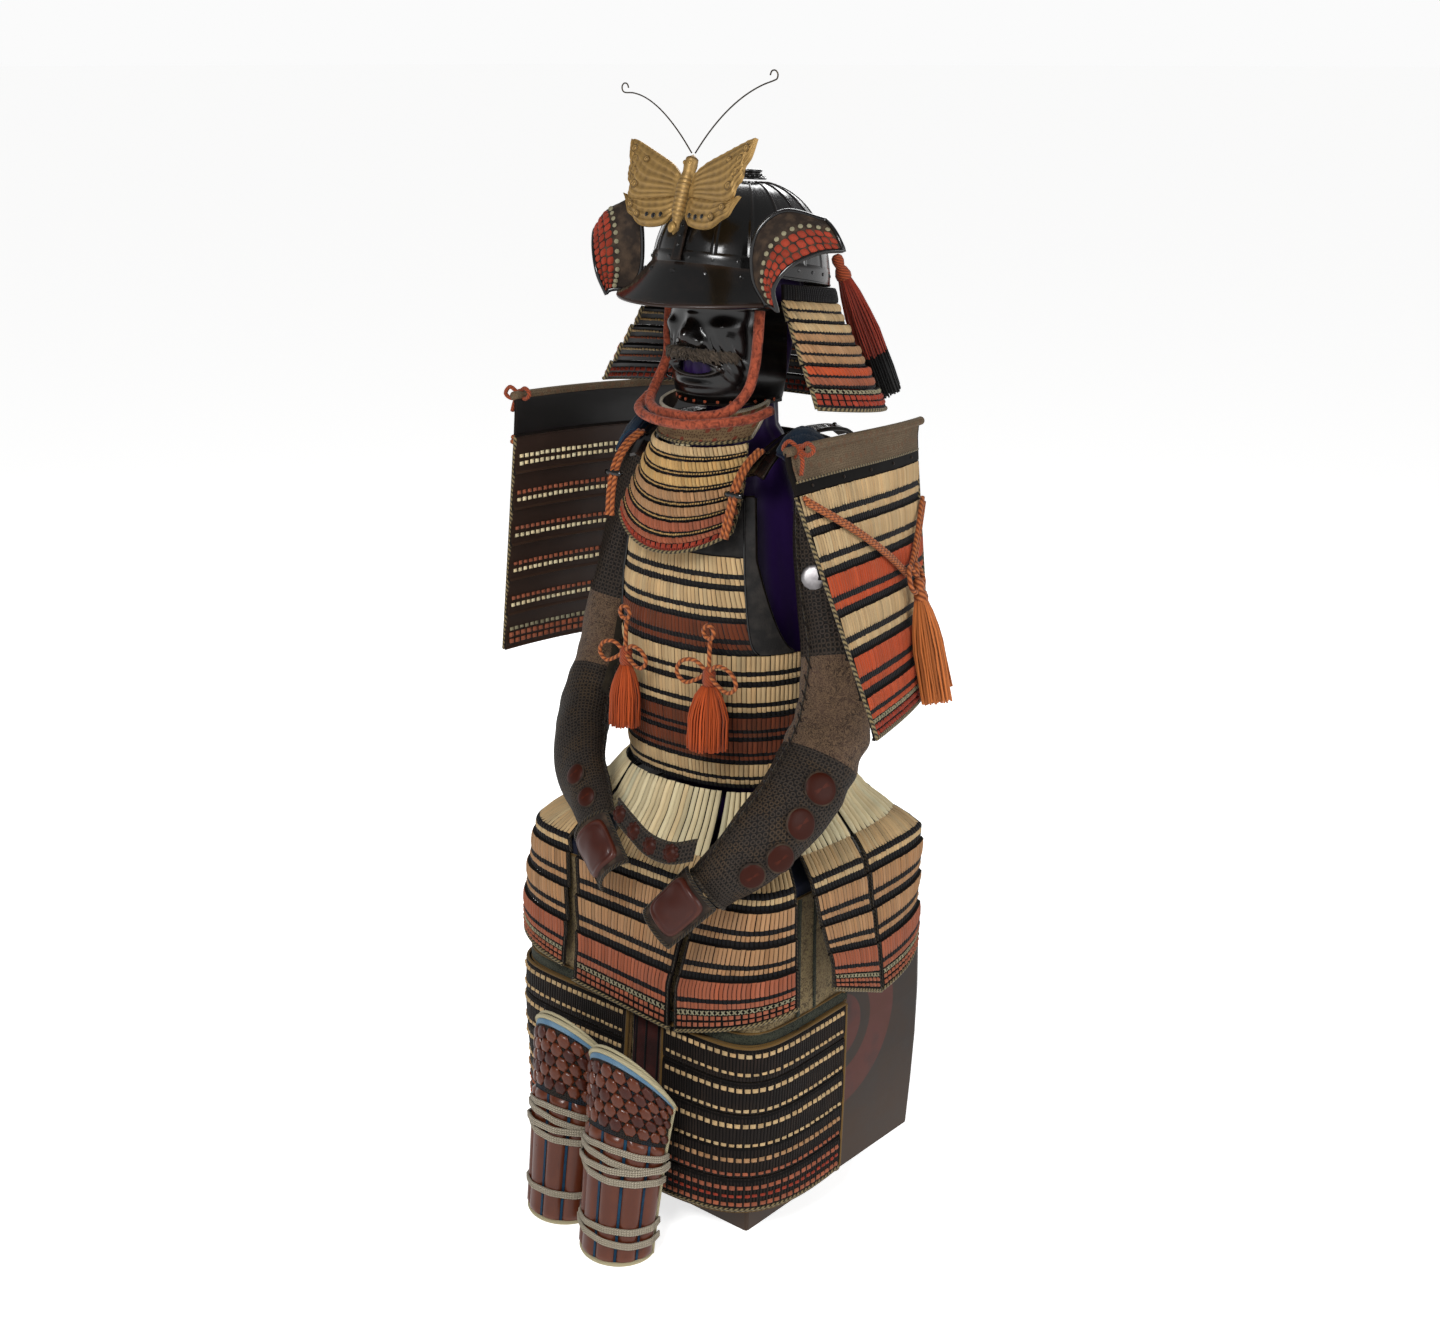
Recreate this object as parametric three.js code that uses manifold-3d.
// A samurai armour set on its armour chest: helmet with butterfly crest, face mask,
// throat guard, laced cuirass, shoulder guards, mail sleeves, tassets, thigh guards
// and shin guards, carried by a limbless cloth-covered form that stands on the chest.
// Millimetres, +Z up. The front faces -Y and the wearer's left side is +X.
// The origin is on the floor, at the middle of the chest's underside.
import * as THREE from "three";
import Module from "manifold-3d";

const wasm = await Module();
wasm.setup();

// ---------------------------------------------------------------- driving dimensions
const CHEST = { halfWidth: 197, halfDepth: 186, bulge: 9, widen: 2, plinth: 12, corner: [4, 15], bodyHeight: 458, lidHeight: 36, lidLip: 1.5 };
const GAP = 0.6; // between pieces that meet
const CHEST_TOP = CHEST.bodyHeight + GAP + CHEST.lidHeight;
const CLOTH = 2.5; // thickness of laced or quilted cloth
const LAME = 5; // thickness of a lacquered lame with its lacing
const LACQUER = 3; // thickness of a bare lacquered plate
const JOG = 4; // how far each lower lame's top edge stands proud of the lame above
const SIDES = { left: 1, right: -1 }; // the wearer's left is +X

// Cuirass rings: height, half width, half depth, centre y.
const CUIRASS = [
  { z: 608, a: 147, b: 133, cy: 8 },
  { z: 660, a: 151, b: 137, cy: 8 },
  { z: 720, a: 154, b: 140, cy: 8 },
  { z: 800, a: 155, b: 141, cy: 8 },
  { z: 880, a: 155, b: 137, cy: 9 },
  { z: 950, a: 150, b: 126, cy: 10 },
  { z: 1010, a: 140, b: 112, cy: 12 },
  { z: 1060, a: 128, b: 112, cy: 22 },
];
const CUIRASS_ROUND = 2.4; // superellipse exponent of its plan
const WAIST_TOP = 800;

// Tasset rings, from the waist lacing down over five lames.
const TASSET_RINGS = [
  { z: 605, a: 154, b: 140, n: 2.4, cy: 8 },
  { z: 566, a: 180, b: 159, n: 2.8, cy: 6 },
  { z: 534, a: 210, b: 186, n: 4, cy: 4 },
  { z: 505, a: 236, b: 210, n: 7, cy: 2 },
  { z: 482, a: 242, b: 214, n: 6.2, cy: 2 },
  { z: 429, a: 253, b: 224, n: 5.3, cy: 0 },
  { z: 376, a: 263, b: 236, n: 4.5, cy: 0 },
  { z: 298, a: 274, b: 247, n: 3.8, cy: 0 },
];
const FIRST_LAME = 3; // the row of the rings where the lames begin
// Each panel's edges at the waist and at its foot in degrees from the front towards +X, how far
// its foot's two corners are raised, how far it stands out, and how much rounder its plan is.
const TASSETS = [
  { name: "tasset_front", top: [-34, 34], foot: [-20, 21], raise: [14, 0], out: 0, soften: 0 },
  { name: "tasset_front_left", top: [36, 59], foot: [23, 58], raise: [0, 52], out: 0, soften: 0 },
  { name: "tasset_side_left", top: [61, 91], foot: [69, 90.5], raise: [66, 22], out: 4, soften: 0 },
  { name: "tasset_rear_left", top: [93, 128], foot: [92, 122], raise: [20, 34], out: 0, soften: 0.38 },
  { name: "tasset_back", top: [149, 211], foot: [154, 206], raise: [-44, -44], out: 12, soften: 0 },
  { name: "tasset_rear_right", top: [232, 267], foot: [238, 268], raise: [34, 20], out: 0, soften: 0.38 },
  { name: "tasset_side_right", top: [269, 299], foot: [269.5, 294], raise: [22, 56], out: 0, soften: 0 },
  { name: "tasset_front_right", top: [301, 324], foot: [303, 336], raise: [44, 30], out: 0, soften: 0 },
];

// Thigh guard rings around the chest, from its waistband down.
const THIGH_RINGS = [
  { z: 524, a: 188, b: 164, n: 3.4 },
  { z: 500, a: 213, b: 202, n: 10 },
  { z: 420, a: 218, b: 208, n: 9 },
  { z: 330, a: 227, b: 220, n: 8.4 },
  { z: 240, a: 233, b: 229, n: 7 },
  { z: 150, a: 238, b: 238, n: 5 },
  { z: 36, a: 243, b: 244, n: 4.2 },
];
const THIGH_INNER = { left: 16, right: -3 }; // degrees from the front centre
const THIGH_COLUMNS = { left: 12, right: 13 }; // so that a column falls on the chest's corner
const THIGH_OUTER = [90, 79]; // at the waistband and at the foot
const THIGH_LAME_TOP = 296;
const THIGH_RAISE = 12; // how far the foot rises towards its outer edge

// Corners of each shoulder guard.
const SHOULDER_GUARDS = {
  left: { frontTop: [217, -164, 1099], backTop: [160, 205, 1083], frontFoot: [357, -139, 750], backFoot: [197, 209, 702] },
  right: { frontTop: [-245, -168, 1118], backTop: [-196, 198, 1100], frontFoot: [-310, -150, 738], backFoot: [-262, 202, 706] },
};
const GUARD_CAP = 58; // height of the cap plate
const GUARD_LAMES = 6;
const GUARD_BULGE = 15;

const BOWL = { cy: 19, a: 108, b: 126, rim: 1283, height: 124, slope: 0.18, lift: 12 };
// Neck guard rows: height at the middle of its depth, half size and half angle from the back.
const NECK_BAND = { z: 1277, a: 116, b: 135, half: 113 };
const NECK_TOP = { z: 1257, a: 121, b: 138, half: 114 };
const NECK_FOOT = { z: 1124, a: 211, b: 173, half: 111 };
const NECK_SLOPE = 0.135;
const NECK_LAMES = 5;

// Edge curves of the turnbacks, given for the wearer's left; the right one sits further back.
const TURNBACKS = {
  left: {
    innerEdge: [[128, -84, 1262], [112, -92, 1298], [114, -88, 1350], [136, -60, 1378], [172, -20, 1366]],
    outerEdge: [[152, -92, 1258], [154, -102, 1288], [168, -88, 1314], [190, -58, 1330], [208, -30, 1332]],
  },
  right: {
    innerEdge: [[130, -64, 1262], [113, -56, 1290], [113, -54, 1350], [136, -44, 1382], [176, -14, 1372]],
    outerEdge: [[152, -84, 1256], [156, -96, 1284], [172, -86, 1312], [194, -62, 1334], [213, -34, 1340]],
  },
};

// Throat guard rows: height at the middle, half width, half depth, half angle, rise at the ends.
const THROAT_CY = -34;
const COLLAR_ROWS = [
  { z: 1114, a: 79, b: 65, half: 104, rise: 14 },
  { z: 1096, a: 79, b: 68, half: 92, rise: 10 },
  { z: 1076, a: 80, b: 72, half: 76, rise: 7 },
];
const BIB_TOP = { z: 1072, a: 84, b: 76, half: 71, rise: 6 };
const BIB_FOOT = { z: 936, a: 139, b: 120, half: 50, rise: 34 };
const BIB_LAMES = 5;

// Sleeve centre lines and radii, from the shoulder to the wrist.
const ARMS = {
  left: [
    { x: 156, y: 8, z: 1040, r: 44 },
    { x: 162, y: 4, z: 960, r: 48 },
    { x: 182, y: -6, z: 872, r: 50 },
    { x: 208, y: -24, z: 792, r: 51 },
    { x: 213, y: -40, z: 722, r: 54 },
    { x: 217, y: -80, z: 666, r: 56 },
    { x: 218, y: -130, z: 626, r: 55 },
    { x: 211, y: -182, z: 590, r: 51 },
    { x: 192, y: -222, z: 557, r: 43 },
    { x: 168, y: -244, z: 528, r: 35 },
  ],
  right: [
    { x: -158, y: 8, z: 1040, r: 44 },
    { x: -176, y: 0, z: 960, r: 48 },
    { x: -194, y: -14, z: 872, r: 50 },
    { x: -203, y: -34, z: 790, r: 51 },
    { x: -200, y: -58, z: 722, r: 53 },
    { x: -190, y: -98, z: 670, r: 53 },
    { x: -164, y: -140, z: 636, r: 51 },
    { x: -124, y: -180, z: 608, r: 47 },
    { x: -77, y: -210, z: 582, r: 41 },
    { x: -36, y: -232, z: 556, r: 34 },
  ],
};
const ARM_FLAT = 0.74; // the sleeves hang a little flat, their broad sides facing out and forward
const ARM_SEGMENTS = 12;
const HAND = { length: 84, sweep: 60, r: 36 };

// Shin guards: the foot's centre on the floor and how far the top leans over.
const SHIN = { height: 292, drop: 62, topR: 64, footR: 52, halfAngle: 112 };
const SHIN_PLACES = {
  left: { foot: [83, -338], lean: [-12, 58] },
  right: { foot: [-42, -316], lean: [-12, 56] },
};

// ---------------------------------------------------------------- shape helpers
const V = (x, y, z) => new THREE.Vector3(x, y, z);
const rad = THREE.MathUtils.degToRad;
const lerp = THREE.MathUtils.lerp;

/** A point on a superellipse ring; the angle runs from the front (-Y) towards +X. */
function ringPoint(angle, { a, b, n = 2, cy = 0 }, z) {
  const s = Math.sin(angle);
  const c = Math.cos(angle);
  const k = Math.pow(Math.pow(Math.abs(s) / a, n) + Math.pow(Math.abs(c) / b, n), -1 / n);
  return V(k * s, cy - k * c, z);
}

/** Values between the rows of a table at the height z, row by row from its first key. */
function rowAt(table, z) {
  const up = table[0].z < table[table.length - 1].z;
  let i = 0;
  while (i < table.length - 2 && (up ? z > table[i + 1].z : z < table[i + 1].z)) i++;
  const t = (z - table[i].z) / (table[i + 1].z - table[i].z);
  const mixed = {};
  for (const key of Object.keys(table[i])) mixed[key] = lerp(table[i][key], table[i + 1][key], t);
  return mixed;
}

/** The grid moved against its own normals by a distance, inwards for a positive one. */
function offsetGrid(grid, distance, ring) {
  const rows = grid.length;
  const cols = grid[0].length;
  return grid.map((row, i) =>
    row.map((p, j) => {
      const before = ring ? row[(j + cols - 1) % cols] : row[Math.max(j - 1, 0)];
      const after = ring ? row[(j + 1) % cols] : row[Math.min(j + 1, cols - 1)];
      const above = grid[Math.max(i - 1, 0)][j];
      const below = grid[Math.min(i + 1, rows - 1)][j];
      const normal = after.clone().sub(before).cross(below.clone().sub(above)).normalize();
      return p.clone().addScaledVector(normal, distance);
    }),
  );
}

/** A geometry from points and triangles, with its faces turned to point out. */
function closedGeometry(points, triangles) {
  let volume = 0;
  for (const [a, b, c] of triangles) volume += points[a].dot(points[b].clone().cross(points[c]));
  const index = [];
  for (const [a, b, c] of triangles) index.push(...(volume > 0 ? [a, b, c] : [a, c, b]));
  const geometry = new THREE.BufferGeometry().setFromPoints(points);
  geometry.setIndex(index);
  geometry.computeVertexNormals();
  return geometry;
}

/** A closed wall between two grids of the same size; a ring closes on itself along its rows. */
function wallBetween(outer, inner, ring = false) {
  const rows = outer.length;
  const cols = outer[0].length;
  const points = [...outer.flat(), ...inner.flat()];
  const at = (side, i, j) => side * rows * cols + i * cols + (j % cols);
  const triangles = [];
  const quad = (a, b, c, d) => triangles.push([a, b, c], [a, c, d]);
  const spans = ring ? cols : cols - 1;
  for (let i = 0; i < rows - 1; i++)
    for (let j = 0; j < spans; j++) {
      quad(at(0, i, j), at(0, i, j + 1), at(0, i + 1, j + 1), at(0, i + 1, j));
      quad(at(1, i, j), at(1, i + 1, j), at(1, i + 1, j + 1), at(1, i, j + 1));
    }
  for (let j = 0; j < spans; j++) {
    quad(at(1, 0, j), at(1, 0, j + 1), at(0, 0, j + 1), at(0, 0, j));
    quad(at(0, rows - 1, j), at(0, rows - 1, j + 1), at(1, rows - 1, j + 1), at(1, rows - 1, j));
  }
  if (!ring)
    for (let i = 0; i < rows - 1; i++) {
      quad(at(0, i, 0), at(0, i + 1, 0), at(1, i + 1, 0), at(1, i, 0));
      quad(at(1, i, cols - 1), at(1, i + 1, cols - 1), at(0, i + 1, cols - 1), at(0, i, cols - 1));
    }
  return closedGeometry(points, triangles);
}

/** A wall of even thickness behind a grid of outer points. */
function wall(grid, thickness, ring = false) {
  return wallBetween(grid, offsetGrid(grid, thickness, ring), ring);
}

/** A solid through closed sections, with flat ends. */
function loft(sections) {
  const rows = sections.length;
  const cols = sections[0].length;
  const middle = (s) => s.reduce((sum, p) => sum.add(p), V(0, 0, 0)).divideScalar(cols);
  const points = [...sections.flat(), middle(sections[0]), middle(sections[rows - 1])];
  const triangles = [];
  const at = (i, j) => i * cols + (j % cols);
  for (let i = 0; i < rows - 1; i++)
    for (let j = 0; j < cols; j++) {
      triangles.push([at(i, j), at(i, j + 1), at(i + 1, j + 1)]);
      triangles.push([at(i, j), at(i + 1, j + 1), at(i + 1, j)]);
    }
  for (let j = 0; j < cols; j++) {
    triangles.push([rows * cols, at(0, j + 1), at(0, j)]);
    triangles.push([rows * cols + 1, at(rows - 1, j), at(rows - 1, j + 1)]);
  }
  return closedGeometry(points, triangles);
}

/** A full ring of points. */
function fullRing(shape, z, count) {
  return Array.from({ length: count }, (_, j) => ringPoint((2 * Math.PI * j) / count, shape, z));
}

/** A round cord along points, as an extruded polygon. */
function cord(points, radius, steps, sides = 8) {
  const section = new THREE.Shape(
    Array.from({ length: sides }, (_, k) => {
      const turn = (2 * Math.PI * k) / sides;
      return new THREE.Vector2(radius * Math.cos(turn), radius * Math.sin(turn));
    }),
  );
  const path = new THREE.CatmullRomCurve3(points);
  return new THREE.ExtrudeGeometry(section, { steps, bevelEnabled: false, extrudePath: path });
}

/** A turned solid about a line: profile rows are distance along it and radius. */
function turned(profile, segments, from, towards) {
  const outline = profile.map(([along, radius]) => new THREE.Vector2(radius, along));
  const geometry = new THREE.LatheGeometry(outline, segments);
  const axis = towards.clone().sub(from).normalize();
  geometry.applyQuaternion(new THREE.Quaternion().setFromUnitVectors(V(0, 1, 0), axis));
  geometry.translate(from.x, from.y, from.z);
  return geometry;
}

/** The geometry mirrored to the right side when the side is -1. */
function onSide(geometry, side) {
  if (side > 0) return geometry;
  const mirrored = geometry.clone();
  mirrored.scale(-1, 1, 1);
  const index = mirrored.index ? [...mirrored.index.array] : [...mirrored.attributes.position.array.keys()].slice(0, mirrored.attributes.position.count);
  for (let i = 0; i < index.length; i += 3) [index[i + 1], index[i + 2]] = [index[i + 2], index[i + 1]];
  mirrored.setIndex(index);
  mirrored.computeVertexNormals();
  return mirrored;
}

/** A geometry as a manifold solid, with coincident vertices joined. */
function solid(geometry) {
  const flat = geometry.index ? geometry.toNonIndexed() : geometry;
  const position = flat.attributes.position;
  const seen = new Map();
  const vertices = [];
  const triangles = [];
  for (let i = 0; i < position.count; i++) {
    const key = [position.getX(i), position.getY(i), position.getZ(i)].map((v) => v.toFixed(3)).join();
    if (!seen.has(key)) {
      seen.set(key, vertices.length / 3);
      vertices.push(position.getX(i), position.getY(i), position.getZ(i));
    }
    triangles.push(seen.get(key));
  }
  return new wasm.Manifold(
    new wasm.Mesh({ numProp: 3, vertProperties: new Float32Array(vertices), triVerts: new Uint32Array(triangles) }),
  );
}

/** A manifold solid as a geometry. */
function geometryOf(manifold) {
  const mesh = manifold.getMesh();
  const geometry = new THREE.BufferGeometry();
  geometry.setAttribute("position", new THREE.BufferAttribute(new Float32Array(mesh.vertProperties), 3));
  geometry.setIndex(new THREE.BufferAttribute(new Uint32Array(mesh.triVerts), 1));
  geometry.computeVertexNormals();
  return geometry;
}

// ---------------------------------------------------------------- finishes
const finish = (color, roughness, metalness = 0) => new THREE.MeshStandardMaterial({ color, roughness, metalness });
const BLACK_LACQUER = finish(0x17110f, 0.2);
const LACING = finish(0xcdb083, 0.85);
const SALMON_LACING = finish(0xb5522f, 0.85);
const CHEST_LACQUER = finish(0x2a2724, 0.45);
const PURPLE_SILK = finish(0x3b1a6b, 0.5);
const GILT = finish(0xb8924a, 0.35, 0.8);
const IRON_WIRE = finish(0x6d6248, 0.4, 0.9);
const ORANGE_CORD = finish(0xc0603a, 0.9);
const DARK_TASSEL = finish(0x6b2119, 0.9);
const FUR = finish(0x6e6154, 0.95);
const PRINTED_LEATHER = finish(0x9b7d58, 0.8);
const BLUE_CLOTH = finish(0x1d3550, 0.9);
const MAIL_CLOTH = finish(0x3b342d, 0.85);
const BROWN_LACQUER = finish(0x6b3220, 0.3);
const BROCADE = finish(0x7a6543, 0.85);
const LINING = finish(0x7fa3b8, 0.9);

const group = new THREE.Group();

/** Adds one named piece. */
function add(name, geometry, material) {
  const mesh = new THREE.Mesh(geometry, material);
  mesh.name = name;
  group.add(mesh);
}

// ---------------------------------------------------------------- chest and form
/** One level of the chest: its sides bow out towards the middle of its height. */
function chestLevel(z, grow) {
  const share = z / CHEST_TOP;
  const bow = CHEST.bulge * Math.sin(Math.PI * share) + CHEST.widen * share + grow;
  const points = [];
  for (const quarter of [0, 1, 2, 3])
    for (const turn of [0, 45, 90]) {
      const angle = rad(quarter * 90 + turn);
      const [sx, sy] = [[1, 1], [-1, 1], [-1, -1], [1, -1]][quarter];
      const corner = lerp(CHEST.corner[0], CHEST.corner[1], share);
      const reach = sy < 0 ? CHEST.plinth * (1 - share) : 0; // the front stands out at the foot
      const x = sx * (CHEST.halfWidth + bow - corner) + corner * Math.cos(angle);
      const y = sy * (CHEST.halfDepth + bow + reach - corner) + corner * Math.sin(angle);
      points.push(V(x, y, z));
    }
  return points;
}

function addChest() {
  const levels = 6;
  const body = [];
  for (let i = 0; i <= levels; i++) body.push(chestLevel((CHEST.bodyHeight * i) / levels, 0));
  add("chest_body", loft(body), CHEST_LACQUER);
  const lid = [CHEST.bodyHeight + GAP, CHEST_TOP].map((z) => chestLevel(z, CHEST.lidLip));
  add("chest_lid", loft(lid), CHEST_LACQUER);
}

/** The limbless form that carries the armour: a tapered body with a neck and a plain head. */
function addForm() {
  const rows = [
    { z: CHEST_TOP + GAP, a: 104, b: 84, cy: 10 },
    { z: 600, a: 108, b: 92, cy: 10 },
    { z: 760, a: 112, b: 98, cy: 10 },
    { z: 900, a: 104, b: 94, cy: 12 },
    { z: 990, a: 98, b: 76, cy: 16 },
    { z: 1046, a: 78, b: 58, cy: 22 },
    { z: 1084, a: 50, b: 46, cy: 22 },
    { z: 1126, a: 47, b: 48, cy: 20 },
    { z: 1156, a: 62, b: 70, cy: 14 },
    { z: 1210, a: 70, b: 80, cy: 14 },
    { z: 1270, a: 76, b: 90, cy: 18 },
    { z: 1330, a: 66, b: 78, cy: 20 },
    { z: 1368, a: 34, b: 42, cy: 24 },
  ];
  add("form_torso", loft(rows.map((r) => fullRing({ ...r, n: 2.3 }, r.z, 20))), PURPLE_SILK);
}

// ---------------------------------------------------------------- helmet
const bowlDrop = (y) => -BOWL.slope * (y - BOWL.cy);

/** The bowl's outer surface at a rise of 0 (rim) to 1 (crown). */
function bowlRing(rise, grow, count) {
  const t = (rise * Math.PI) / 2;
  const shrink = Math.pow(Math.cos(t), 0.82);
  const shape = {
    a: (BOWL.a + grow) * shrink,
    b: (BOWL.b + grow) * shrink,
    n: 2.1,
    cy: BOWL.cy + BOWL.lift * Math.sin(t),
  };
  const ring = fullRing(shape, BOWL.rim + (BOWL.height + grow) * Math.sin(t), count);
  ring.forEach((p) => (p.z += bowlDrop(p.y) * (1 - 0.6 * rise)));
  return ring;
}

function addBowl() {
  const rises = [0.92, 0.8, 0.64, 0.46, 0.28, 0.12, 0];
  const count = 24;
  const outer = rises.map((r) => bowlRing(r, 0, count));
  const inner = rises.map((r) => bowlRing(r, -LACQUER, count));
  inner[inner.length - 1].forEach((p, j) => (p.z = outer[outer.length - 1][j].z));
  add("helmet_bowl", wallBetween(outer, inner, true), BLACK_LACQUER);
  const base = V(0, BOWL.cy + BOWL.lift + 2, BOWL.rim + BOWL.height + 0.5);
  const tiers = [[0, 0], [0, 24], [3, 24], [6, 16], [9, 16], [10, 18], [13, 18], [13, 0]];
  add("helmet_apex", turned(tiers, 12, base, base.clone().add(V(0, 0.06, 1))), BLACK_LACQUER);
}

/** Visor: a flaring brim that reaches furthest over the brow. */
function addVisor() {
  const steps = 12;
  const half = rad(50);
  const rows = [0, 0.5, 1].map((t) =>
    Array.from({ length: steps + 1 }, (_, j) => {
      const angle = lerp(-half, half, j / steps);
      const reach = Math.cos((angle / half) * 1.1);
      const shape = {
        a: BOWL.a + 2.2 + t * 50,
        b: BOWL.b + 2.2 + t * (20 + 30 * reach),
        n: 2.1,
        cy: BOWL.cy,
      };
      const p = ringPoint(angle, shape, 0);
      const side = Math.pow(Math.abs(angle) / half, 2);
      p.z = BOWL.rim + 5 + bowlDrop(p.y) * (1 - t) + t * (-26 + 2 * side) - 12 * Math.sin(Math.PI * t) * 0.4;
      return p;
    }),
  );
  add("helmet_visor", wall(rows, LACQUER), BLACK_LACQUER);
}

/** Neck guard: a laced band under the bowl and five flaring lames in one stepped wall. */
function addNeckGuard() {
  const steps = 16;
  const rows = [NECK_BAND];
  for (let lame = 0; lame < NECK_LAMES; lame++)
    for (const [edge, jog] of [[0, 0], [1, -JOG]]) {
      const t = (lame + edge * 0.985) / NECK_LAMES;
      const row = {};
      for (const key of Object.keys(NECK_TOP)) row[key] = lerp(NECK_TOP[key], NECK_FOOT[key], t);
      rows.push({ ...row, a: row.a + jog, b: row.b + jog });
    }
  const grid = rows.map((row) =>
    Array.from({ length: steps + 1 }, (_, j) => {
      const angle = Math.PI + rad(lerp(-row.half, row.half, j / steps));
      const p = ringPoint(angle, { ...row, n: 2.1, cy: BOWL.cy }, row.z);
      p.z -= NECK_SLOPE * (p.y - BOWL.cy);
      return p;
    }),
  );
  add("neck_guard", wall(grid, LAME), LACING);
}

/** Turnback: the leaf that folds out and back beside the visor, between two edge curves. */
function addTurnbacks() {
  const columns = 9;
  const rows = 4;
  for (const [name, side] of Object.entries(SIDES)) {
    const { innerEdge, outerEdge } = TURNBACKS[name];
    const from = new THREE.CatmullRomCurve3(innerEdge.map((p) => V(...p)));
    const to = new THREE.CatmullRomCurve3(outerEdge.map((p) => V(...p)));
    const grid = [];
    for (let i = 0; i <= rows; i++)
      grid.push(
        Array.from({ length: columns + 1 }, (_, j) => {
          const v = i / rows;
          const bulge = 5 * Math.sin(Math.PI * v);
          return from.getPoint(j / columns).lerp(to.getPoint(j / columns), v).add(V(bulge, -bulge, bulge * 0.6));
        }),
      );
    add("turnback_" + name, onSide(wall(grid, LACQUER), side), PRINTED_LEATHER);
  }
}

// ---------------------------------------------------------------- butterfly crest
const CREST = { foot: V(0, -117, 1345), head: V(3, -80, 1443), turn: -11, tilt: 2 };

/** Outline of the left pair of wings, from the body outwards. */
function wingShape() {
  const shape = new THREE.Shape();
  shape.moveTo(4, 20);
  shape.bezierCurveTo(26, 36, 62, 50, 96, 60);
  shape.quadraticCurveTo(112, 66, 120, 66);
  shape.quadraticCurveTo(124, 50, 112, 38);
  shape.quadraticCurveTo(114, 26, 100, 18);
  shape.quadraticCurveTo(100, 6, 84, -2);
  shape.lineTo(82, -10);
  shape.quadraticCurveTo(98, -14, 112, -8);
  shape.quadraticCurveTo(108, -30, 88, -34);
  shape.quadraticCurveTo(70, -48, 44, -46);
  shape.quadraticCurveTo(16, -44, 4, -26);
  shape.closePath();
  return shape;
}

function addCrest() {
  const along = CREST.head.clone().sub(CREST.foot);
  const length = along.length();
  const body = [[0, 0], [0, 4], [8, 6], [16, 5], [30, 9], [64, 11], [82, 8], [90, 9], [100, 8], [length, 0]];
  add("crest_butterfly_body", turned(body, 10, CREST.foot, CREST.head), GILT);
  const middle = CREST.foot.clone().lerp(CREST.head, 0.55);
  for (const [name, side] of Object.entries(SIDES)) {
    const wing = new THREE.ExtrudeGeometry(wingShape(), { depth: 3, bevelEnabled: false, curveSegments: 3 });
    wing.translate(8.5, 0, -1.5);
    wing.rotateY(rad(-3)); // the wings reach a little forward
    wing.rotateX(Math.PI / 2 - Math.atan2(along.y, along.z));
    const placed = onSide(wing, side);
    placed.rotateY(rad(-CREST.tilt));
    placed.rotateZ(rad(CREST.turn));
    placed.translate(middle.x, middle.y, middle.z);
    add("crest_wing_" + name, placed, GILT);
  }
  const feelers = {
    left: { tip: V(157, -108, 1535), bow: V(82, -97, 1487) },
    right: { tip: V(-142, -51, 1517), bow: V(-70, -68, 1484) },
  };
  for (const [name, { tip, bow }] of Object.entries(feelers)) {
    const side = SIDES[name];
    const root = CREST.head.clone().add(V(3 * side, 0, 2));
    const points = [root, root.clone().lerp(bow, 0.45).add(V(-3 * side, 0, 3)), bow, bow.clone().lerp(tip, 0.55).add(V(0, 0, 3)), tip];
    for (let k = 1; k <= 5; k++) {
      const turn = rad(-90 + 54 * k);
      points.push(V(tip.x + side * 6 * Math.cos(turn), tip.y, tip.z + 6 + 6 * Math.sin(turn)));
    }
    add("crest_feeler_" + name, cord(points, 1.1, 20, 5), IRON_WIRE);
  }
  const prong = new THREE.BoxGeometry(14, 3, 48);
  prong.rotateX(-0.36);
  prong.translate(0, -103, 1338);
  add("crest_prong", prong, BLACK_LACQUER);
}

/** Helmet tassel: a knotted cord from the back of the bowl down to a long brush. */
function addHelmetTassel() {
  const profile = [[0, 0], [0, 6], [10, 8], [20, 6], [30, 13], [60, 18], [130, 22], [196, 25], [196, 0]];
  add("helmet_tassel", turned(profile, 10, V(60, 148, 1304), V(110, 206, 1114)), DARK_TASSEL);
}

// ---------------------------------------------------------------- mask and throat
/** The mask's outer surface at an angle from the front. */
function maskPoint(angle, z) {
  const low = Math.max(0, (1172 - z) / 52);
  const p = ringPoint(angle, { a: 80 - 9 * low * low, b: 88 - 9 * low * low, n: 2.2, cy: 8 }, z);
  const nose = 22 * Math.exp(-Math.pow(p.x / 13, 2) - Math.pow((z - 1212) / 13, 2));
  const chin = 6 * Math.exp(-Math.pow(p.x / 32, 2) - Math.pow((z - 1138) / 16, 2));
  const cheek = 6 * Math.exp(-Math.pow((Math.abs(p.x) - 44) / 16, 2) - Math.pow((z - 1218) / 16, 2));
  p.y -= nose + chin + cheek;
  return p;
}

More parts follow.
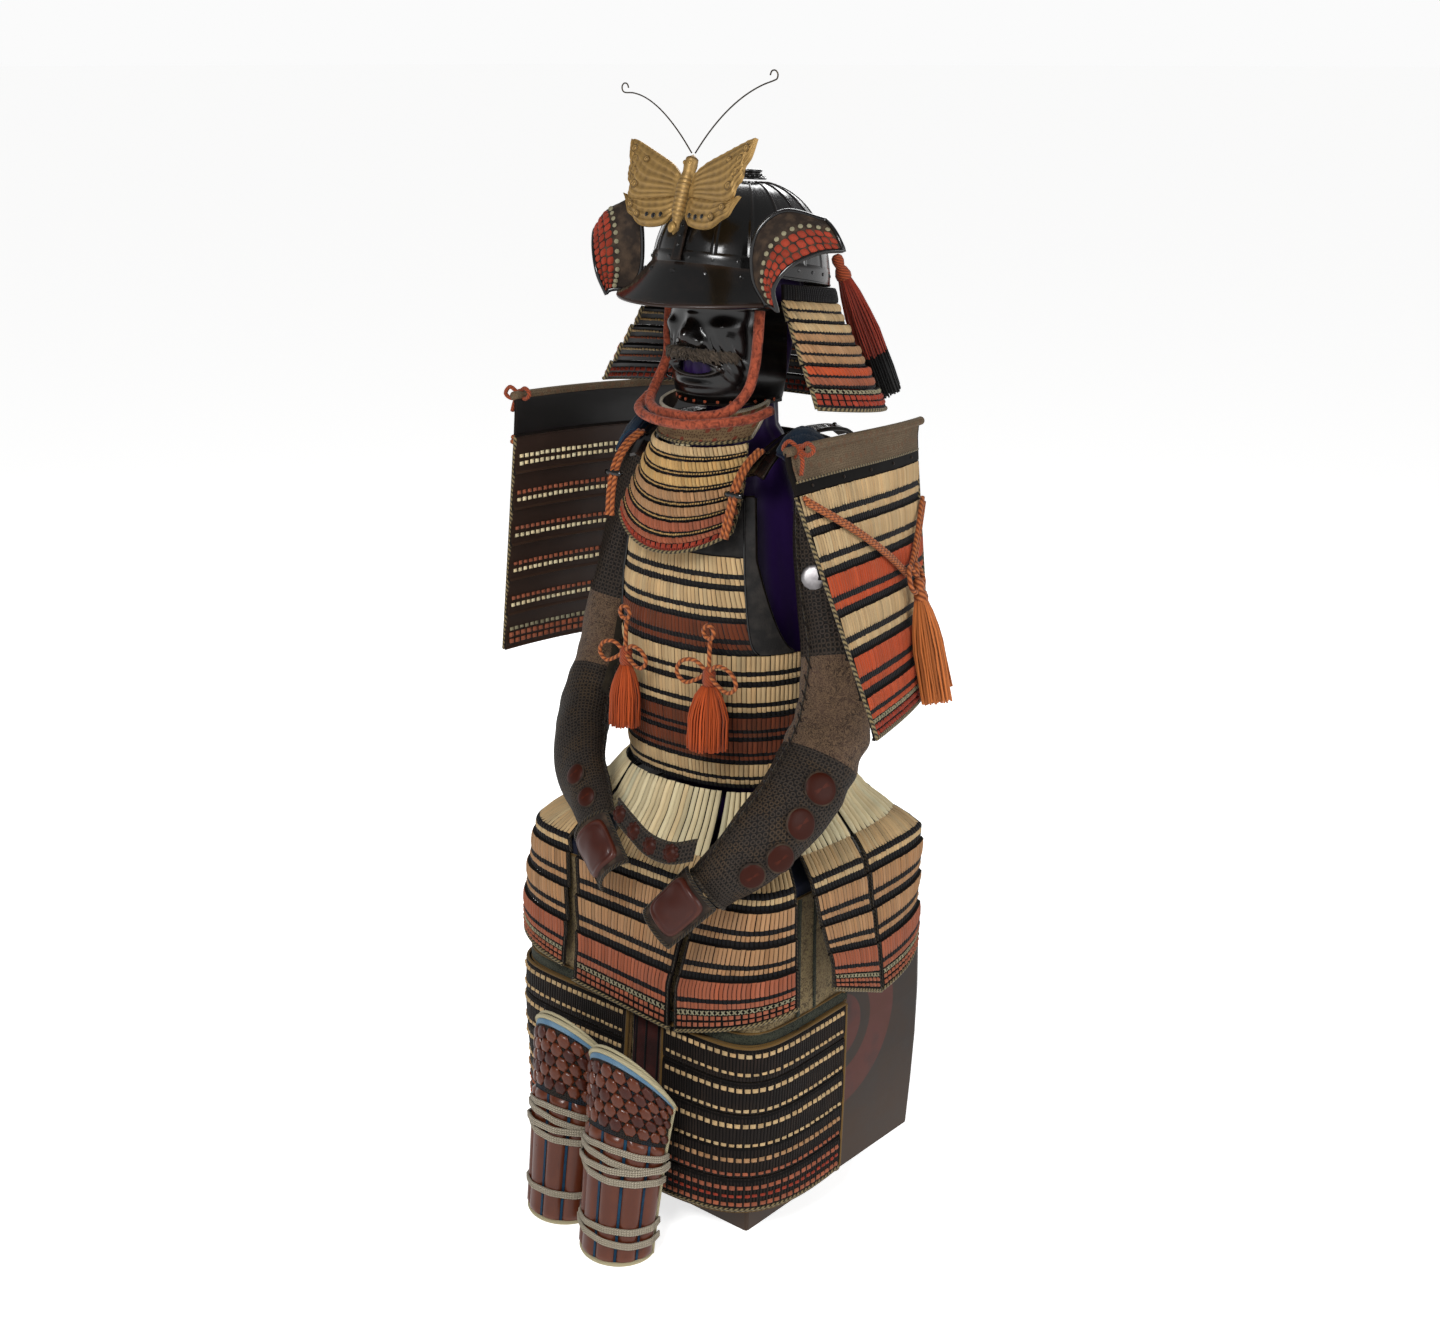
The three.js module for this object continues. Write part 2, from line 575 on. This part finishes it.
function addMask() {
  const rows = [1250, 1234, 1218, 1206, 1194, 1178, 1160, 1142, 1122];
  const columns = 18;
  const half = rad(98);
  const grid = rows.map((z) => Array.from({ length: columns + 1 }, (_, j) => maskPoint(lerp(-half, half, j / columns), z)));
  const mouth = new THREE.BoxGeometry(60, 90, 17);
  mouth.translate(0, -100, 1174);
  add("face_mask", geometryOf(solid(wall(grid, LACQUER)).subtract(solid(mouth))), BLACK_LACQUER);
  const count = 8;
  const hairs = [-50, -34, -17, 0, 17, 34, 50].map((turn) => {
    const thick = 1 - Math.pow(Math.abs(turn) / 58, 3);
    const z = 1193 - 4 * Math.abs(turn / 50);
    const face = maskPoint(rad(turn), z);
    const outward = V(Math.sin(rad(turn)), -Math.cos(rad(turn)), 0);
    const middle = face.clone().addScaledVector(outward, 7.6 * thick + 1.4);
    return Array.from({ length: count }, (_, k) => {
      const spin = (2 * Math.PI * k) / count;
      return middle.clone().addScaledVector(outward, 5 * thick * Math.cos(spin)).add(V(0, 0, 6.5 * thick * Math.sin(spin)));
    });
  });
  add("moustache", loft(hairs), FUR);
}

function throatRow(row, columns) {
  return Array.from({ length: columns + 1 }, (_, j) => {
    const across = lerp(-1, 1, j / columns);
    const shape = { a: row.a, b: row.b, n: 2.1, cy: THROAT_CY };
    return ringPoint(rad(across * row.half), shape, row.z + row.rise * across * across);
  });
}

function addThroatGuard() {
  add("throat_collar", wall(COLLAR_ROWS.map((r) => throatRow(r, 12)), LACQUER), PRINTED_LEATHER);
  const grid = [];
  for (let lame = 0; lame < BIB_LAMES; lame++)
    for (const [edge, jog] of [[0, 0], [1, -JOG * 0.6]]) {
      const t = (lame + edge) / BIB_LAMES - (edge ? 0.012 : 0);
      const row = {};
      for (const key of Object.keys(BIB_TOP)) row[key] = lerp(BIB_TOP[key], BIB_FOOT[key], t);
      row.a += jog;
      row.b += jog;
      grid.push(throatRow(row, 12));
    }
  add("throat_bib", wall(grid, 4), LACING);
}

const CHIN_CORD_SET = 8; // the right branch lies closer to the mask

/** The padded chin cord: down both cheeks and under the chin. */
function addChinCord() {
  const left = [V(91, -52, 1250), V(91, -56, 1210), V(89, -60, 1176), V(85, -70, 1146), V(70, -92, 1122), V(38, -109, 1114)];
  const right = left.map((p) => V(-p.x + CHIN_CORD_SET * Math.min(1, (p.z - 1114) / 60), p.y + 2.6 * CHIN_CORD_SET * Math.min(1, (p.z - 1114) / 60), p.z)).reverse();
  add("chin_cord", cord([...left, V(0, -114, 1113), ...right], 7, 30, 6), ORANGE_CORD);
}

// ---------------------------------------------------------------- cuirass
/** Cuirass wall between two heights, with its half angle given as a function of height. */
function cuirassGrid(low, high, levels, columns, middle, halfAt) {
  const grid = [];
  for (let i = 0; i <= levels; i++) {
    const z = lerp(high, low, i / levels);
    const row = rowAt(CUIRASS, z);
    const half = rad(halfAt(z));
    grid.push(
      Array.from({ length: columns + 1 }, (_, j) =>
        ringPoint(middle + lerp(-half, half, j / columns), { ...row, n: CUIRASS_ROUND }, z),
      ),
    );
  }
  return grid;
}

function addCuirass() {
  const ring = [];
  for (let i = 0; i <= 4; i++) {
    const z = lerp(WAIST_TOP, CUIRASS[0].z, i / 4);
    ring.push(fullRing({ ...rowAt(CUIRASS, z), n: CUIRASS_ROUND }, z, 28));
  }
  add("cuirass_waist", wall(ring, LAME, true), LACING);
  const armhole = (z, top) => lerp(72, 50, Math.pow(Math.min((z - WAIST_TOP) / (top - WAIST_TOP), 1), 0.5));
  const front = cuirassGrid(WAIST_TOP + GAP, 1010, 6, 12, 0, (z) => armhole(z, 930));
  add("cuirass_front", wall(front, LAME), LACING);
  const back = cuirassGrid(WAIST_TOP + GAP, 1058, 6, 12, Math.PI, (z) => armhole(z, 960));
  add("cuirass_back", wall(back, LAME), LACING);
}

/** Shoulder strap, shoulder pad and the toggle cords that join strap and breastplate. */
function addShoulders() {
  for (const [name, side] of Object.entries(SIDES)) {
    const spine = [
      { x: 104, y: 122, z: 1072 },
      { x: 106, y: 96, z: 1084 },
      { x: 109, y: 46, z: 1091 },
      { x: 109, y: -8, z: 1086 },
      { x: 107, y: -52, z: 1068 },
      { x: 106, y: -80, z: 1044 },
    ];
    const strap = spine.map(({ x, y, z }) => [-14, 0, 14].map((w) => V(x + w, y, z - Math.abs(w) * 0.3)));
    add("shoulder_strap_" + name, onSide(wall(strap, 5), side), BLACK_LACQUER);
    const padRows = [-30, -8, 14, 36, 58].map((y) =>
      [0, 0.33, 0.66, 1].map((t) => V(126 + 36 * t, y - 26, 1094 - 34 * t * t - 0.012 * (y - 14) * (y - 14))),
    );
    add("shoulder_pad_" + name, onSide(wall(padRows, 6), side), BLUE_CLOTH);
    const toggle = [V(106, -66, 1072), V(107, -94, 1058), V(107, -116, 1034), V(106, -128, 1000), V(102, -136, 966)];
    add("strap_cord_" + name, onSide(cord(toggle, 5, 10, 6), side), ORANGE_CORD);
  }
}

/** Breast tassels: a knotted cord above a hanging brush. */
function addBreastTassels() {
  const places = { left: [93, -150, 1.3], right: [-56, -152, 1] };
  for (const [name, [x, y, wide]] of Object.entries(places)) {
    const profile = [[0, 0], [0, 20 * wide], [40, 18 * wide], [80, 14 * wide], [90, 8], [100, 10], [108, 5], [138, 5], [148, 9], [154, 0]];
    add("breast_tassel_" + name, turned(profile, 10, V(x, y - 10, 682), V(x, y - 2, 836)), ORANGE_CORD);
  }
}

// ---------------------------------------------------------------- shoulder guards
/** A point of a shoulder guard: share along its width, distance down, distance out. */
function guardPoint(corners, share, down, out) {
  const [ft, bt, ff, bf] = [corners.frontTop, corners.backTop, corners.frontFoot, corners.backFoot].map((c) => V(...c));
  const length = lerp(ft.distanceTo(ff), bt.distanceTo(bf), share);
  const t = down / length;
  const front = ft.clone().lerp(ff, t);
  const back = bt.clone().lerp(bf, t);
  const downward = ff.clone().sub(ft).lerp(bf.clone().sub(bt), share).normalize();
  const outward = back.clone().sub(front).cross(downward).normalize();
  if (outward.x * ft.x < 0) outward.negate();
  const bulge = GUARD_BULGE * (1 - Math.pow(2 * share - 1, 2));
  return front.lerp(back, share).addScaledVector(outward, out + bulge);
}

function addShoulderGuards() {
  const columns = 8;
  for (const [name, corners] of Object.entries(SHOULDER_GUARDS)) {
    const length = V(...corners.frontTop).distanceTo(V(...corners.frontFoot));
    const pitch = (length - GUARD_CAP - GAP) / GUARD_LAMES;
    const strip = (down, out) =>
      Array.from({ length: columns + 1 }, (_, j) => guardPoint(corners, j / columns, down, out));
    const cap = [strip(0, 10), strip(7, 6), strip(24, 3), strip(GUARD_CAP, 2)];
    const skirt = [];
    for (let lame = 0; lame < GUARD_LAMES; lame++) {
      skirt.push(strip(GUARD_CAP + GAP + lame * pitch, 2));
      skirt.push(strip(GUARD_CAP + GAP + (lame + 1) * pitch - 1, 2 - JOG));
    }
    add("guard_cap_" + name, wall(cap, name === "left" ? LACQUER : -LACQUER), BLACK_LACQUER);
    add("guard_lames_" + name, wall(skirt, name === "left" ? LAME : -LAME), name === "left" ? LACING : BLACK_LACQUER);
    const route = [[0.01, 66], [0.12, 92], [0.25, 120], [0.38, 148], [0.5, 174], [0.58, 192], [0.64, 200], [0.71, 192], [0.79, 170], [0.87, 144], [0.96, 112]];
    const rope = route.map(([share, down]) => guardPoint(corners, share, down, 9));
    add("guard_rope_" + name, cord(rope, 4.6, 24, 6), ORANGE_CORD);
    const brush = [[0, 0], [0, 6], [14, 9], [26, 5], [40, 11], [90, 18], [158, 22], [158, 0]];
    const from = guardPoint(corners, 0.64, 212, 28);
    const one = solid(turned(brush, 10, from, guardPoint(corners, 0.59, 374, 28)));
    const two = solid(turned(brush, 10, from, guardPoint(corners, 0.71, 366, 28)));
    add("guard_tassel_" + name, geometryOf(one.add(two)), ORANGE_CORD);
  }
}

// ---------------------------------------------------------------- sleeves and hands
/** The directions across and above a centre line at one of its stops. */
function armFrame(path, t) {
  const tangent = path.getTangent(t);
  const across = V(1, 0, 0).addScaledVector(tangent, -tangent.x).normalize();
  return { tangent, across, up: tangent.clone().cross(across) };
}

function addSleeves() {
  for (const [name, stops] of Object.entries(ARMS)) {
    const path = new THREE.CatmullRomCurve3(stops.map(({ x, y, z }) => V(x, y, z)));
    const rings = (shrink) =>
      stops.map((stop, i) => {
        const { across, up } = armFrame(path, i / (stops.length - 1));
        const broad = across.clone().multiplyScalar(0.76 * SIDES[name]).addScaledVector(up, -0.65);
        const flat = across.clone().multiplyScalar(0.65 * SIDES[name]).addScaledVector(up, 0.76);
        return Array.from({ length: ARM_SEGMENTS }, (_, k) => {
          const turn = (2 * Math.PI * k) / ARM_SEGMENTS;
          return V(stop.x, stop.y, stop.z)
            .addScaledVector(broad, (stop.r - shrink) * Math.cos(turn))
            .addScaledVector(flat, (stop.r * ARM_FLAT - shrink) * Math.sin(turn));
        });
      });
    add("sleeve_" + name, wallBetween(rings(0), rings(CLOTH), true), MAIL_CLOTH);
    const { tangent, across, up } = armFrame(path, 1);
    const front = V(0, -1, 0.25).addScaledVector(tangent, -tangent.dot(V(0, -1, 0.25))).normalize();
    const beside = front.clone().cross(tangent).normalize();
    const wrist = path.getPoint(1);
    const hand = [0, 0.25, 0.5, 0.75, 1].map((t) =>
      Array.from({ length: 7 }, (_, j) => {
        const turn = rad(lerp(-HAND.sweep, HAND.sweep, j / 6));
        const r = HAND.r - 4 * t;
        return wrist
          .clone()
          .addScaledVector(tangent, 3 + HAND.length * t)
          .addScaledVector(front, r * Math.cos(turn) - 8 * t)
          .addScaledVector(beside, r * Math.sin(turn) * 1.1);
      }),
    );
    add("hand_guard_" + name, wall(hand, LACQUER), BROWN_LACQUER);
  }
}

// ---------------------------------------------------------------- tassets and thigh guards
function addTassets() {
  const columns = 5;
  const levels = [];
  TASSET_RINGS.forEach((ring, i) => {
    if (i > FIRST_LAME + 1) levels.push({ ...ring, z: ring.z + 1, a: ring.a - JOG, b: ring.b - JOG });
    if (i < TASSET_RINGS.length - 1) levels.push(ring);
  });
  const waist = TASSET_RINGS[0].z;
  const drop = waist - TASSET_RINGS[TASSET_RINGS.length - 1].z;
  for (const { name, top, foot, raise, out, soften } of TASSETS) {
    const grid = levels.map((ring) => {
      const t = (waist - ring.z) / drop;
      const shape = { ...ring, a: ring.a + out * t, b: ring.b + out * t, n: ring.n * (1 - soften * Math.min(1, 1.6 * t)) };
      return Array.from({ length: columns + 1 }, (_, j) => {
        const share = j / columns;
        const angle = lerp(lerp(top[0], top[1], share), lerp(foot[0], foot[1], share), Math.min(1, t * 1.25));
        return ringPoint(rad(angle), shape, ring.z + lerp(raise[0], raise[1], share) * t * t);
      });
    });
    add(name, wall(grid, LAME), LACING);
  }
}

function addThighGuards() {
  const waist = THIGH_RINGS[0].z;
  const drop = waist - THIGH_RINGS[THIGH_RINGS.length - 1].z;
  const count = 5;
  for (const [name, side] of Object.entries(SIDES)) {
    const columns = THIGH_COLUMNS[name];
    const arc = (ring, grow, trim) => {
      const t = (waist - ring.z) / drop;
      const outer = lerp(THIGH_OUTER[0], THIGH_OUTER[1], t);
      return Array.from({ length: columns + 1 }, (_, j) => {
        const share = j / columns;
        const angle = lerp(THIGH_INNER[name] + trim, outer - trim, share);
        const z = ring.z + THIGH_RAISE * share * share * t * t;
        return ringPoint(rad(angle), { ...ring, a: ring.a + grow, b: ring.b + grow }, z);
      });
    };
    const cloth = THIGH_RINGS.map((ring) => arc(ring, 0, 0));
    const lames = [];
    for (let i = 0; i <= count; i++) {
      const z = lerp(THIGH_LAME_TOP, 46, i / count);
      lames.push(arc({ ...rowAt(THIGH_RINGS, z), z }, LAME + 1.4, 1.5));
    }
    add("thigh_cloth_" + name, onSide(wall(cloth, CLOTH), side), BROCADE);
    add("thigh_lames_" + name, onSide(wall(lames, LAME), side), BLACK_LACQUER);
  }
}

// ---------------------------------------------------------------- shin guards
/** Shin guard rows: a half tube that leans back, with a knee that rises at the front. */
function shinGrid({ foot, lean }, grow, extra) {
  const columns = 10;
  return [1, 0.84, 0.68, 0.5, 0.3, 0.12, 0].map((t) =>
    Array.from({ length: columns + 1 }, (_, j) => {
      const turn = rad(lerp(-SHIN.halfAngle, SHIN.halfAngle, j / columns));
      const r = lerp(SHIN.footR, SHIN.topR, Math.pow(t, 1.4)) + grow;
      const z = SHIN.height * t - SHIN.drop * (1 - Math.cos(turn)) * t * t + (t === 1 ? extra : 0);
      const over = z / SHIN.height;
      return V(foot[0] + lean[0] * over + r * Math.sin(turn), foot[1] + lean[1] * over - r * 0.92 * Math.cos(turn), z);
    }),
  );
}

function addShinGuards() {
  for (const [name, place] of Object.entries(SHIN_PLACES)) {
    add("shin_plates_" + name, wall(shinGrid(place, 0, 0), LACQUER), BROWN_LACQUER);
    add("shin_lining_" + name, wall(shinGrid(place, -LACQUER - GAP, 6), CLOTH), LINING);
  }
}

addChest();
addForm();
addBowl();
addVisor();
addNeckGuard();
addTurnbacks();
addCrest();
addHelmetTassel();
addMask();
addThroatGuard();
addChinCord();
addCuirass();
addShoulders();
addBreastTassels();
addShoulderGuards();
addSleeves();
addTassets();
addThighGuards();
addShinGuards();

export default group;
